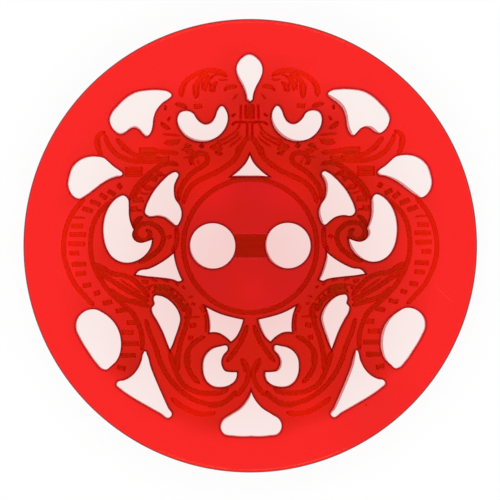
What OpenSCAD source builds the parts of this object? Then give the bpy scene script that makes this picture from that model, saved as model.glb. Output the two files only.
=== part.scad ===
// Two-hole sew-through button, cut from sheet, pierced and engraved with two mirrored scrolled beasts.
// The back lies on the plane Z = 0, the sewing holes stand on the X axis and the crest points along +Y.

/* [Blank] */
// Diameter of the button
button_d = 34; // [32:0.5:60]
// Thickness of the sheet that the button is cut from
sheet_t = 3; // [2:0.1:5]
// Radius of the polished edge round the rim
rim_round = 0.35; // [0.1:0.05:0.8]

/* [Sewing holes] */
// Diameter of each sewing hole
hole_d = 3.4; // [2:0.1:4.2]
// Distance between the centres of the two sewing holes
hole_pitch = 5.65; // [5:0.05:7]
// Width of the thread groove between the holes
groove_w = 1.9; // [0.8:0.1:2.4]
// Depth of the thread groove
groove_depth = 0.5; // [0.2:0.1:1.2]

/* [Engraving] */
// Diameter of the ring round the sewing holes, at the middle of its line
ring_d = 10; // [9:0.1:11]
// Width of the engraved contours
contour_w = 0.3; // [0.15:0.05:0.4]
// Width of the fine engraved lines
fine_w = 0.2; // [0.1:0.05:0.3]
// Depth of the engraved lines
line_depth = 0.25; // [0.1:0.05:0.6]

/* [Hidden] */
$fn = 96;

// How far each cut runs past the face that it starts from
overrun = 0.2;
// Largest turn between two straight pieces of a curve, in degrees, on the openings and on the lines
opening_turn = 16;
line_turn = 24;
// Fewest straight pieces of a line that runs out to a point
pointed_from = 3;
// Straight pieces in the round of the rim
rim_steps = 2;

// The drawing of the ornament is in pixels, x to the right and y down: its axis, its middle and its rim
axis_px = 251;
middle_px = 245.5;
rim_px = 227;
mm_per_px = button_d / 2 / rim_px;

// Openings of the left half. A third entry of 1 marks a sharp corner.
wing_px = [
    [172.8, 94.3], [169.5, 98.3], [163, 103], [157.5, 109.5], [154.5, 118], [153.5, 126], [151.5, 132],
    [148, 135.5], [144, 132.5], [140, 128.3], [136, 126.7], [131, 128], [126.5, 131.5], [122, 133.3],
    [116, 130], [112.3, 124.5], [111, 118], [113.5, 111.5], [120, 104], [128, 96.5], [137, 91.5],
    [148, 89.5], [161, 89.3], [169.5, 91]
];
mouth_px = [
    [179, 117], [181, 112.5], [188, 110.2], [194, 112.5], [197.5, 117.8], [201, 121.5], [207, 124],
    [213, 121.8], [216.7, 116.5], [219.3, 109.5], [223.3, 105.5], [227, 109.5], [229, 117],
    [226.5, 127], [220, 135], [211, 140], [201, 141], [190, 137.5], [183, 131], [179.5, 124]
];
shoulder_px = [
    [123.4, 172.5], [121, 170.2], [115, 166], [109.5, 161], [104.5, 157], [98, 155.6], [89.5, 155.8],
    [81, 159], [74, 165.5], [70.3, 175], [69, 183], [71, 190.5], [75.5, 196], [80, 197.8], [86, 195],
    [94, 189.3], [103, 182.5], [111, 178], [118, 175.7], [122, 175]
];
belly_px = [
    [124.5, 194.7], [119, 196.5], [112, 203], [107, 212], [104.5, 222], [104.5, 236], [107, 246.5],
    [112.5, 255.5], [120, 260.5], [128, 262], [137, 260], [145, 254.8], [150.5, 247.5], [152.5, 239, 1],
    [147, 241], [141, 242.2], [135, 239.5], [132.7, 234.5], [134.2, 229, 1], [131.5, 223], [129.6, 214],
    [129.5, 206], [128.5, 198]
];
breast_px = [
    [177, 171.5], [179.3, 174], [177.5, 178.5], [175.2, 184], [174.7, 191], [176, 198.5], [180, 204.5],
    [182.3, 212], [181, 219.5], [177, 224.8], [172, 221.5], [166, 217], [159, 215.2], [149, 215.3],
    [146.3, 213], [147, 206], [150, 199], [154.5, 191], [160, 184], [166, 177.8], [172, 173]
];
thigh_px = [
    [174.2, 253, 1], [175.3, 260], [177.7, 268.5], [182.3, 279.5, 1], [179, 280.8], [174, 279],
    [160, 276.8], [145, 275.3], [136.3, 273.8, 1], [139.5, 270.4], [149, 268.4], [158, 264.3], [167, 258.7]
];
blade_px = [
    [155, 295.5], [160, 295.3], [167, 298], [173, 303], [178, 310], [180.4, 318], [178.5, 327], [175, 337],
    [172.5, 344], [170, 349, 1], [167.3, 342], [163.5, 332], [157.5, 320], [152.8, 311.5], [152.2, 307.5],
    [155, 303.5], [154, 299]
];
flank_px = [
    [95, 308.5], [104, 312.5], [112, 319], [118, 328], [121, 340], [120.5, 350], [117, 359],
    [110.5, 365.5], [106, 368.8], [102.5, 368], [96, 361.5], [88, 350], [80.5, 337.5], [76.3, 327],
    [77.5, 318.5], [84, 311.2]
];
tail_px = [
    [145, 350.5], [147.3, 354.5], [150.5, 366], [155.5, 379], [161.5, 393], [168, 407.5], [171.5, 414.5],
    [169, 417.2], [160, 412.5], [145, 404], [130, 395], [121, 388.5], [116.5, 383.5], [118, 381],
    [124, 379.5], [131.5, 375.5], [138, 368], [141.8, 359.5], [143.3, 353]
];
collar_px = [
    [206, 306.5, 1], [209.3, 317], [209.8, 332, 1], [219, 332.5], [226, 336.5], [231, 341.3, 1],
    [235.5, 337.5], [239.5, 331], [243.3, 319.5, 1], [232, 317], [221, 313.8], [212, 309.8]
];
scroll_px = [
    [227.5, 346.2], [220, 346.3], [213, 348.2], [207, 353], [203.8, 359], [203, 366], [204, 374.5],
    [208, 382], [213.5, 385.8], [221, 386.8], [229, 385], [235, 380.3], [236.8, 372, 1], [230, 371.9],
    [225.5, 371], [222, 366], [221.3, 360.5], [223.5, 354.5], [227.8, 349]
];

// Left edges of the openings that stand on the axis, from the top down
crest_px = [
    [251, 54], [242.5, 58.7], [238.3, 66.5], [238.3, 72], [240.3, 78], [244.3, 85.5], [247, 92],
    [248.2, 99, 1], [251, 101.5, 1]
];
chin_px = [[251, 155, 1], [248, 161.5], [241, 169.5], [233, 175.9, 1], [251, 175.9, 1]];
base_px = [
    [251, 391.5, 1], [247.5, 399], [240, 408], [230, 414.5], [222.5, 420], [220.5, 427], [224, 433.7],
    [233, 435.6], [251, 436, 1]
];

pierced_px = [
    wing_px, mouth_px, shoulder_px, belly_px, breast_px, thigh_px, blade_px, flank_px, tail_px, collar_px,
    scroll_px
];
axial_px = [crest_px, chin_px, base_px];

// Engraved contours of the left half
brow_lines_px = [
    [[183.5, 97], [182.5, 90], [186, 82.5], [193, 76.5], [202, 72], [212, 70], [222, 71.5], [229, 76.5]],
    [[198, 98.5], [197, 90], [199, 82], [204, 76.5], [211, 74.5]],
    [[207, 91.5], [207, 85], [210, 79], [215, 76]],
    [[213.5, 92], [214.5, 86], [220, 81.5]],
    [[225.5, 89], [231, 86.5], [239, 86.5]]
];
ear_lines_px = [
    [[106.5, 132], [101, 133.5], [98, 138], [98.5, 145], [101, 151], [104, 156]],
    [[106, 133], [108.5, 141], [114, 149.5], [123, 156.5], [134, 160], [150, 160.5], [171, 158]],
    [[117, 137], [122, 142.5], [129, 149.5], [137, 154.5], [148, 156], [160, 156]],
    [[140, 149.5], [152, 150], [166, 151.5], [180, 153]],
    [[126, 168.5], [144, 168.5]],
    [[126, 173.5], [144, 173.5]]
];
cheek_lines_px = [
    [[176, 103.5], [183, 104.5], [189, 107]],
    [[195, 106], [204, 105.5]],
    [[162, 121], [166, 125.5], [172, 128.5]],
    [[165.5, 107], [168.5, 107.5]],
    [[169, 117.5], [171.5, 119]],
    [[165, 142], [172, 142.5], [181, 141]],
    [[184.5, 147.5], [188.5, 145.3], [193.5, 145.7]],
    [[186, 150.5], [191, 151.5], [196, 152]],
    [[201.5, 143.5], [204.5, 147.5]],
    [[211, 146], [217, 148.5], [224, 148]],
    [[216, 151.5], [220, 153], [224.5, 153.5]],
    [[234, 113.5], [236, 116]],
    [[234, 122], [236, 124.5]]
];
neck_lines_px = [
    [
        [193, 165], [192.5, 159], [196, 154], [202, 152.5], [208, 155.5], [208.5, 161], [203, 166],
        [195, 171], [188, 178], [182.5, 186], [180, 194], [180.3, 201]
    ],
    [
        [252.5, 135.5], [246.5, 140], [243, 146], [239.5, 153], [234, 160.5], [226, 166.5], [217, 172],
        [207, 176.5], [198, 181], [191, 187], [186.5, 195], [184, 204]
    ],
    [[243, 144], [239.5, 149], [237.5, 155]]
];
limb_lines_px = [
    [[180, 165], [172, 162.5], [163, 164.5], [154, 170], [146, 177], [139, 184.5], [134, 192], [131, 200]],
    [[157, 171], [163, 174]],
    [[151, 176], [158, 180]],
    [[145, 186], [152, 187.5]],
    [[136, 198.5], [144, 198.5]],
    [[131.5, 208], [139, 207.5]],
    [[119, 183], [122.5, 188]]
];
curl_lines_px = [
    [
        [146, 229.5], [150.5, 231.5], [150, 237], [144, 240], [137.5, 236.5], [136.5, 229.5], [142, 223.5],
        [150, 222.5], [158, 226], [163.5, 233], [163.5, 242], [158, 250.5], [149, 257], [138, 262]
    ],
    [[134.5, 226.5], [138, 220], [144, 215.5]],
    [[177, 227.5], [177.5, 239], [175, 250]],
    [[169.5, 234.5], [171.5, 238]]
];
back_lines_px = [
    [
        [86, 197.5], [78, 206], [71, 217], [66.5, 229], [64.5, 242], [65, 256], [69, 270], [76, 284],
        [85, 294.5], [95, 305]
    ],
    [
        [118, 196.5], [108, 204], [99, 213.5], [94, 224], [91.5, 238], [91.5, 252], [95, 266.5], [102, 280],
        [112, 293], [124, 304], [134, 313.5], [139.5, 325], [142.5, 337], [141.5, 350]
    ]
];
// The bars that cross the back, each by its two ends
scale_lines_px = [
    [[108.5, 190], [116.5, 194]], [[101, 193], [108, 198]], [[91, 200], [101.5, 204]],
    [[83, 207], [94, 210.5]], [[72, 225], [84, 225]], [[70, 233.5], [87, 233.5]],
    [[69, 242.5], [86, 243]], [[70, 252], [80, 252]], [[72, 263.5], [87, 263]], [[76, 273], [87, 272]],
    [[83, 285], [92, 283.5]], [[94, 293], [101, 291]],
    [[103, 302.5], [113, 300.5]], [[116, 310.5], [127, 308.5]], [[127, 322], [136, 321.5]],
    [[122, 331.5], [134, 331.5]], [[122, 342.5], [139, 342.5]], [[121, 354.5], [136, 354.5]],
    [[117, 366], [126, 368]], [[100, 251], [102, 255]]
];
fin_lines_px = [
    [[95.5, 262], [103, 267], [112, 272.5], [124, 274.5], [134, 279], [142, 287], [150, 297]],
    [[97, 268], [105, 275], [115, 281], [127, 289], [138, 295], [150, 300.5]],
    [[110, 287], [118, 294.5], [128, 299.5], [139, 302.5], [150, 306]],
    [[155, 286.5], [165, 287], [174, 289]],
    [[152, 292], [164, 292.5], [174, 296], [181, 303], [184.5, 312]]
];
tail_lines_px = [
    [
        [146, 318], [149.5, 331], [155.5, 346], [160.5, 361], [167, 374], [177, 386.5], [190, 397],
        [205, 403], [219, 403.5], [229, 398.5], [236, 390]
    ],
    [[170, 350], [172.5, 361], [177, 373], [184, 384.5], [194, 390.5], [208, 393], [220, 392], [229, 388]],
    [[187.5, 302], [188.5, 312], [187, 323], [183, 335], [179.5, 348], [178, 360], [178.5, 371]],
    [[206, 336], [197, 340.5], [190, 347.5], [186.5, 356.5], [188, 366.5], [193, 376], [200, 383]],
    [[171, 397], [181, 405], [192, 411], [205, 414], [216, 412]],
    [[190, 325.5], [196.5, 324.5]],
    [[188.5, 337], [193.5, 338]],
    [[201.5, 304.5], [204.5, 312]],
    [[248, 324], [245, 333], [241.5, 341], [236, 349.5], [230.5, 357], [226.5, 362]],
    [[241, 358], [246, 364], [248.5, 372], [247.5, 380], [243, 388], [235, 396]]
];
contour_lines_px = concat(
    brow_lines_px, ear_lines_px, cheek_lines_px, neck_lines_px, limb_lines_px, curl_lines_px, back_lines_px,
    scale_lines_px, fin_lines_px, tail_lines_px
);
// Fine lines on the bridge of the left half
fine_lines_px = [
    [[242.5, 104], [242, 119]],
    [[247, 104], [247, 119]],
    [[240, 121.5], [249, 122]],
    [[248.5, 123], [248.5, 138.5]]
];

// Place on the face of one point of the drawing
function on_face(p) = [p.x - axis_px, middle_px - p.y] * mm_per_px;
function is_sharp(p) = len(p) > 2;
function unit(v) = v / norm(v);
function item(list, i) = list[(i + len(list)) % len(list)];

// Heading of the round curve through three points, at the middle one
function heading(a, b, c) = unit(unit(b - a) * norm(c - b) + unit(c - b) * norm(b - a));
// Heading that makes a round arc over a chord, from the heading at its other end
function mirrored(direction, chord) = 2 * (direction * chord) * chord - direction;

// Point at share s of the cubic from p to q, with the headings at its two ends
function cubic(p, q, from_p, to_q, s) =
    let (reach = norm(q - p))
    p * (2 * s ^ 3 - 3 * s ^ 2 + 1) + q * (3 * s ^ 2 - 2 * s ^ 3)
    + from_p * reach * (s ^ 3 - 2 * s ^ 2 + s) + to_q * reach * (s ^ 3 - s ^ 2);

// Angle between two headings
function turn(a, b) = acos(min(1, max(-1, a * b)));

// Points of one span of a curve, from its point i up to the next one
function span(points, sharp, i, largest_turn) =
    let (p = item(points, i), q = item(points, i + 1), chord = unit(q - p))
    let (p_sharp = item(sharp, i), q_sharp = item(sharp, i + 1))
    let (p_round = p_sharp ? chord : heading(item(points, i - 1), p, q))
    let (q_round = q_sharp ? chord : heading(p, q, item(points, i + 2)))
    let (from_p = p_sharp ? mirrored(q_round, chord) : p_round)
    let (to_q = q_sharp ? mirrored(p_round, chord) : q_round)
    let (steps = max(1, ceil((turn(from_p, chord) + turn(chord, to_q)) / largest_turn)))
    [for (k = [0:steps - 1]) cubic(p, q, from_p, to_q, k / steps)];

// Closed outline through the points of a drawing
function outline(drawn) =
    let (points = [for (p = drawn) on_face(p)], sharp = [for (p = drawn) is_sharp(p)])
    [for (i = [0:len(points) - 1]) each span(points, sharp, i, opening_turn)];

// Mirror image of the left edge of an opening on the axis, without the two points on the axis
function reflected(drawn) = [
    for (i = [len(drawn) - 2:-1:1])
        let (p = drawn[i], x = 2 * axis_px - p.x)
        is_sharp(p) ? [x, p.y, 1] : [x, p.y]
];

// Open curve through the points of a drawn line
function trail(drawn) =
    let (points = [for (p = drawn) on_face(p)], last = len(points) - 1)
    let (sharp = [for (i = [0:last]) i == 0 || i == last])
    last == 1 ? points
        : concat([for (i = [0:last - 1]) each span(points, sharp, i, line_turn)], [points[last]]);

// Outline of a line of width w: a long line runs out to a point at both ends, a short one ends square
function stroke(drawn, w) =
    let (path = trail(drawn), last = len(path) - 1, half = w / 2)
    let (along = [for (i = [0:last]) unit(path[min(i + 1, last)] - path[max(i - 1, 0)]) * half])
    let (side = [for (v = along) [-v.y, v.x]])
    let (pointed = last >= pointed_from, first = pointed ? 1 : 0)
    concat(
        pointed ? [path[0]] : [],
        [for (i = [first:last - first]) path[i] + side[i]],
        pointed ? [path[last]] : [],
        [for (i = [last - first:-1:first]) path[i] - side[i]]
    );

// Points of one rounded edge in the half section of the blank
function edge_arc(middle_z, start) = [
    for (k = [0:rim_steps])
        let (angle = start + 90 * k / rim_steps)
        [button_d / 2 - rim_round + rim_round * cos(angle), middle_z + rim_round * sin(angle)]
];

module both_halves() {
    children();
    mirror([1, 0, 0]) children();
}

module blank() {
    rotate_extrude()
        polygon(concat(
            [[0, 0]], edge_arc(rim_round, -90), edge_arc(sheet_t - rim_round, 0), [[0, sheet_t]]
        ));
}

// Cut of the given depth into the face
module into_face(depth) {
    translate([0, 0, sheet_t - depth])
        linear_extrude(depth + overrun) children();
}

module piercings() {
    translate([0, 0, -overrun])
        linear_extrude(sheet_t + 2 * overrun) {
            both_halves()
                for (drawn = pierced_px) polygon(outline(drawn));
            for (drawn = axial_px) polygon(outline(concat(drawn, reflected(drawn))));
        }
}

module lines(drawn_lines, w) {
    both_halves()
        for (drawn = drawn_lines)
            into_face(line_depth) polygon(stroke(drawn, w));
}

module ring() {
    into_face(line_depth)
        difference() {
            circle(d = ring_d + contour_w);
            circle(d = ring_d - contour_w);
        }
}

module sewing_holes() {
    both_halves()
        translate([hole_pitch / 2, 0, -overrun])
            cylinder(d = hole_d, h = sheet_t + 2 * overrun);
}

module thread_groove() {
    into_face(groove_depth)
        square([hole_pitch, groove_w], center = true);
}

module button() {
    color("crimson")
        difference() {
            blank();
            piercings();
            sewing_holes();
            thread_groove();
            ring();
            lines(contour_lines_px, contour_w);
            lines(fine_lines_px, fine_w);
        }
}

button();
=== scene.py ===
import math
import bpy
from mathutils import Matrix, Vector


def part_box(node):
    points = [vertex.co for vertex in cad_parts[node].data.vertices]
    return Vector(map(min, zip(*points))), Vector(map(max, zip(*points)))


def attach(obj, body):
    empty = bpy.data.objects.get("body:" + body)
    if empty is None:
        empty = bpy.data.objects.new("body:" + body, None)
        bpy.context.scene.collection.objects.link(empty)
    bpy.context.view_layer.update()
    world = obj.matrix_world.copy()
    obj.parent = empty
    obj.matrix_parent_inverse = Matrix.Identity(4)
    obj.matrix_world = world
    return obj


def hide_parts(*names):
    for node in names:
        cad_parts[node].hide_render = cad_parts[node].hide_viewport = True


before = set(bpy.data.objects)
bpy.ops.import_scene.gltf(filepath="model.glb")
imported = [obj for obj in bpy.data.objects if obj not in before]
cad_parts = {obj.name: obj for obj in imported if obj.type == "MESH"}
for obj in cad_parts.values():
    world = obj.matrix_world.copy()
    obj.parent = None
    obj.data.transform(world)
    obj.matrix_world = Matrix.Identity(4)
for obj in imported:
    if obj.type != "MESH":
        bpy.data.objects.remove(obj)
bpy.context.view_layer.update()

from types import SimpleNamespace
import bpy
import numpy as np
from mathutils import Vector, geometry, kdtree

low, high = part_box("button")
mm = 0.001
faceRadius = (high.x - low.x) / 2 / mm
faceHeight = high.z / mm
print("frame loaded, button", round(2 * faceRadius, 2), "mm across and", round(faceHeight, 2), "mm thick")

# the drawing is in pixels, x right and y down: its axis, its middle and the radius of its rim
drawing = {"axis": 251, "middle": 245.5, "rim": 227}
mmPerPx = faceRadius / drawing["rim"]

# openings of the left half, a third entry of 1 is a sharp corner
pairedOpenings = {
    "wing": [
        [172.8, 94.3], [169.5, 98.3], [163, 103], [157.5, 109.5], [154.5, 118], [153.5, 126],
        [151.5, 132], [148, 135.5], [144, 132.5], [140, 128.3], [136, 126.7], [131, 128], [126.5, 131.5],
        [122, 133.3], [116, 130], [112.3, 124.5], [111, 118], [113.5, 111.5], [120, 104], [128, 96.5],
        [137, 91.5], [148, 89.5], [161, 89.3], [169.5, 91]
    ],
    "mouth": [
        [179, 117], [181, 112.5], [188, 110.2], [194, 112.5], [197.5, 117.8], [201, 121.5], [207, 124],
        [213, 121.8], [216.7, 116.5], [219.3, 109.5], [223.3, 105.5], [227, 109.5], [229, 117],
        [226.5, 127], [220, 135], [211, 140], [201, 141], [190, 137.5], [183, 131], [179.5, 124]
    ],
    "shoulder": [
        [123.4, 172.5], [121, 170.2], [115, 166], [109.5, 161], [104.5, 157], [98, 155.6], [89.5, 155.8],
        [81, 159], [74, 165.5], [70.3, 175], [69, 183], [71, 190.5], [75.5, 196], [80, 197.8], [86, 195],
        [94, 189.3], [103, 182.5], [111, 178], [118, 175.7], [122, 175]
    ],
    "belly": [
        [124.5, 194.7], [119, 196.5], [112, 203], [107, 212], [104.5, 222], [104.5, 236], [107, 246.5],
        [112.5, 255.5], [120, 260.5], [128, 262], [137, 260], [145, 254.8], [150.5, 247.5],
        [152.5, 239, 1], [147, 241], [141, 242.2], [135, 239.5], [132.7, 234.5], [134.2, 229, 1],
        [131.5, 223], [129.6, 214], [129.5, 206], [128.5, 198]
    ],
    "breast": [
        [177, 171.5], [179.3, 174], [177.5, 178.5], [175.2, 184], [174.7, 191], [176, 198.5],
        [180, 204.5], [182.3, 212], [181, 219.5], [177, 224.8], [172, 221.5], [166, 217], [159, 215.2],
        [149, 215.3], [146.3, 213], [147, 206], [150, 199], [154.5, 191], [160, 184], [166, 177.8],
        [172, 173]
    ],
    "thigh": [
        [174.2, 253, 1], [175.3, 260], [177.7, 268.5], [182.3, 279.5, 1], [179, 280.8], [174, 279],
        [160, 276.8], [145, 275.3], [136.3, 273.8, 1], [139.5, 270.4], [149, 268.4], [158, 264.3],
        [167, 258.7]
    ],
    "blade": [
        [155, 295.5], [160, 295.3], [167, 298], [173, 303], [178, 310], [180.4, 318], [178.5, 327],
        [175, 337], [172.5, 344], [170, 349, 1], [167.3, 342], [163.5, 332], [157.5, 320], [152.8, 311.5],
        [152.2, 307.5], [155, 303.5], [154, 299]
    ],
    "flank": [
        [95, 308.5], [104, 312.5], [112, 319], [118, 328], [121, 340], [120.5, 350], [117, 359],
        [110.5, 365.5], [106, 368.8], [102.5, 368], [96, 361.5], [88, 350], [80.5, 337.5], [76.3, 327],
        [77.5, 318.5], [84, 311.2]
    ],
    "tail": [
        [145, 350.5], [147.3, 354.5], [150.5, 366], [155.5, 379], [161.5, 393], [168, 407.5],
        [171.5, 414.5], [169, 417.2], [160, 412.5], [145, 404], [130, 395], [121, 388.5], [116.5, 383.5],
        [118, 381], [124, 379.5], [131.5, 375.5], [138, 368], [141.8, 359.5], [143.3, 353]
    ],
    "collar": [
        [206, 306.5, 1], [209.3, 317], [209.8, 332, 1], [219, 332.5], [226, 336.5], [231, 341.3, 1],
        [235.5, 337.5], [239.5, 331], [243.3, 319.5, 1], [232, 317], [221, 313.8], [212, 309.8]
    ],
    "scroll": [
        [227.5, 346.2], [220, 346.3], [213, 348.2], [207, 353], [203.8, 359], [203, 366], [204, 374.5],
        [208, 382], [213.5, 385.8], [221, 386.8], [229, 385], [235, 380.3], [236.8, 372, 1], [230, 371.9],
        [225.5, 371], [222, 366], [221.3, 360.5], [223.5, 354.5], [227.8, 349]
    ],
}

# left half of the openings on the axis
middleOpenings = {
    "crest": [
        [251, 54], [242.5, 58.7], [238.3, 66.5], [238.3, 72], [240.3, 78], [244.3, 85.5], [247, 92],
        [248.2, 99, 1], [251, 101.5, 1]
    ],
    "chin": [
        [251, 155, 1], [248, 161.5], [241, 169.5], [233, 175.9, 1], [251, 175.9, 1]
    ],
    "base": [
        [251, 391.5, 1], [247.5, 399], [240, 408], [230, 414.5], [222.5, 420], [220.5, 427], [224, 433.7],
        [233, 435.6], [251, 436, 1]
    ],
}

# engraved lines of the left half
contourLines = {
    "brow": [
        [
            [183.5, 97], [182.5, 90], [186, 82.5], [193, 76.5], [202, 72], [212, 70], [222, 71.5],
            [229, 76.5]
        ],
        [[198, 98.5], [197, 90], [199, 82], [204, 76.5], [211, 74.5]],
        [[207, 91.5], [207, 85], [210, 79], [215, 76]], [[213.5, 92], [214.5, 86], [220, 81.5]],
        [[225.5, 89], [231, 86.5], [239, 86.5]]
    ],
    "ear": [
        [[106.5, 132], [101, 133.5], [98, 138], [98.5, 145], [101, 151], [104, 156]],
        [[106, 133], [108.5, 141], [114, 149.5], [123, 156.5], [134, 160], [150, 160.5], [171, 158]],
        [[117, 137], [122, 142.5], [129, 149.5], [137, 154.5], [148, 156], [160, 156]],
        [[140, 149.5], [152, 150], [166, 151.5], [180, 153]], [[126, 168.5], [144, 168.5]],
        [[126, 173.5], [144, 173.5]]
    ],
    "cheek": [
        [[176, 103.5], [183, 104.5], [189, 107]], [[195, 106], [204, 105.5]],
        [[162, 121], [166, 125.5], [172, 128.5]], [[165.5, 107], [168.5, 107.5]],
        [[169, 117.5], [171.5, 119]], [[165, 142], [172, 142.5], [181, 141]],
        [[184.5, 147.5], [188.5, 145.3], [193.5, 145.7]], [[186, 150.5], [191, 151.5], [196, 152]],
        [[201.5, 143.5], [204.5, 147.5]], [[211, 146], [217, 148.5], [224, 148]],
        [[216, 151.5], [220, 153], [224.5, 153.5]], [[234, 113.5], [236, 116]],
        [[234, 122], [236, 124.5]]
    ],
    "neck": [
        [
            [193, 165], [192.5, 159], [196, 154], [202, 152.5], [208, 155.5], [208.5, 161], [203, 166],
            [195, 171], [188, 178], [182.5, 186], [180, 194], [180.3, 201]
        ],
        [
            [252.5, 135.5], [246.5, 140], [243, 146], [239.5, 153], [234, 160.5], [226, 166.5],
            [217, 172], [207, 176.5], [198, 181], [191, 187], [186.5, 195], [184, 204]
        ],
        [[243, 144], [239.5, 149], [237.5, 155]]
    ],
    "limb": [
        [
            [180, 165], [172, 162.5], [163, 164.5], [154, 170], [146, 177], [139, 184.5], [134, 192],
            [131, 200]
        ],
        [[157, 171], [163, 174]], [[151, 176], [158, 180]], [[145, 186], [152, 187.5]],
        [[136, 198.5], [144, 198.5]], [[131.5, 208], [139, 207.5]], [[119, 183], [122.5, 188]]
    ],
    "curl": [
        [
            [146, 229.5], [150.5, 231.5], [150, 237], [144, 240], [137.5, 236.5], [136.5, 229.5],
            [142, 223.5], [150, 222.5], [158, 226], [163.5, 233], [163.5, 242], [158, 250.5], [149, 257],
            [138, 262]
        ],
        [[134.5, 226.5], [138, 220], [144, 215.5]], [[177, 227.5], [177.5, 239], [175, 250]],
        [[169.5, 234.5], [171.5, 238]]
    ],
    "back": [
        [
            [86, 197.5], [78, 206], [71, 217], [66.5, 229], [64.5, 242], [65, 256], [69, 270], [76, 284],
            [85, 294.5], [95, 305]
        ],
        [
            [118, 196.5], [108, 204], [99, 213.5], [94, 224], [91.5, 238], [91.5, 252], [95, 266.5],
            [102, 280], [112, 293], [124, 304], [134, 313.5], [139.5, 325], [142.5, 337], [141.5, 350]
        ]
    ],
    "scale": [
        [[108.5, 190], [116.5, 194]], [[101, 193], [108, 198]], [[91, 200], [101.5, 204]],
        [[83, 207], [94, 210.5]], [[72, 225], [84, 225]], [[70, 233.5], [87, 233.5]],
        [[69, 242.5], [86, 243]], [[70, 252], [80, 252]], [[72, 263.5], [87, 263]],
        [[76, 273], [87, 272]], [[83, 285], [92, 283.5]], [[94, 293], [101, 291]],
        [[103, 302.5], [113, 300.5]], [[116, 310.5], [127, 308.5]], [[127, 322], [136, 321.5]],
        [[122, 331.5], [134, 331.5]], [[122, 342.5], [139, 342.5]], [[121, 354.5], [136, 354.5]],
        [[117, 366], [126, 368]]
    ],
    "fin": [
        [[95.5, 262], [103, 267], [112, 272.5], [124, 274.5], [134, 279], [142, 287], [150, 297]],
        [[97, 268], [105, 275], [115, 281], [127, 289], [138, 295], [150, 300.5]],
        [[110, 287], [118, 294.5], [128, 299.5], [139, 302.5], [150, 306]],
        [[155, 286.5], [165, 287], [174, 289]],
        [[152, 292], [164, 292.5], [174, 296], [181, 303], [184.5, 312]]
    ],
    "tail": [
        [
            [146, 318], [149.5, 331], [155.5, 346], [160.5, 361], [167, 374], [177, 386.5], [190, 397],
            [205, 403], [219, 403.5], [229, 398.5], [236, 390]
        ],
        [
            [170, 350], [172.5, 361], [177, 373], [184, 384.5], [194, 390.5], [208, 393], [220, 392],
            [229, 388]
        ],
        [[187.5, 302], [188.5, 312], [187, 323], [183, 335], [179.5, 348], [178, 360], [178.5, 371]],
        [[206, 336], [197, 340.5], [190, 347.5], [186.5, 356.5], [188, 366.5], [193, 376], [200, 383]],
        [[171, 397], [181, 405], [192, 411], [205, 414], [216, 412]], [[190, 325.5], [196.5, 324.5]],
        [[188.5, 337], [193.5, 338]], [[201.5, 304.5], [204.5, 312]],
        [[248, 324], [245, 333], [241.5, 341], [236, 349.5], [230.5, 357], [226.5, 362]],
        [[241, 358], [246, 364], [248.5, 372], [247.5, 380], [243, 388], [235, 396]]
    ],
}

# and the narrower ones
fineLines = {
    "bridge": [
        [[242.5, 104], [242, 119]], [[247, 104], [247, 119]], [[240, 121.5], [249, 122]],
        [[248.5, 123], [248.5, 138.5]]
    ],
}

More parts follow.
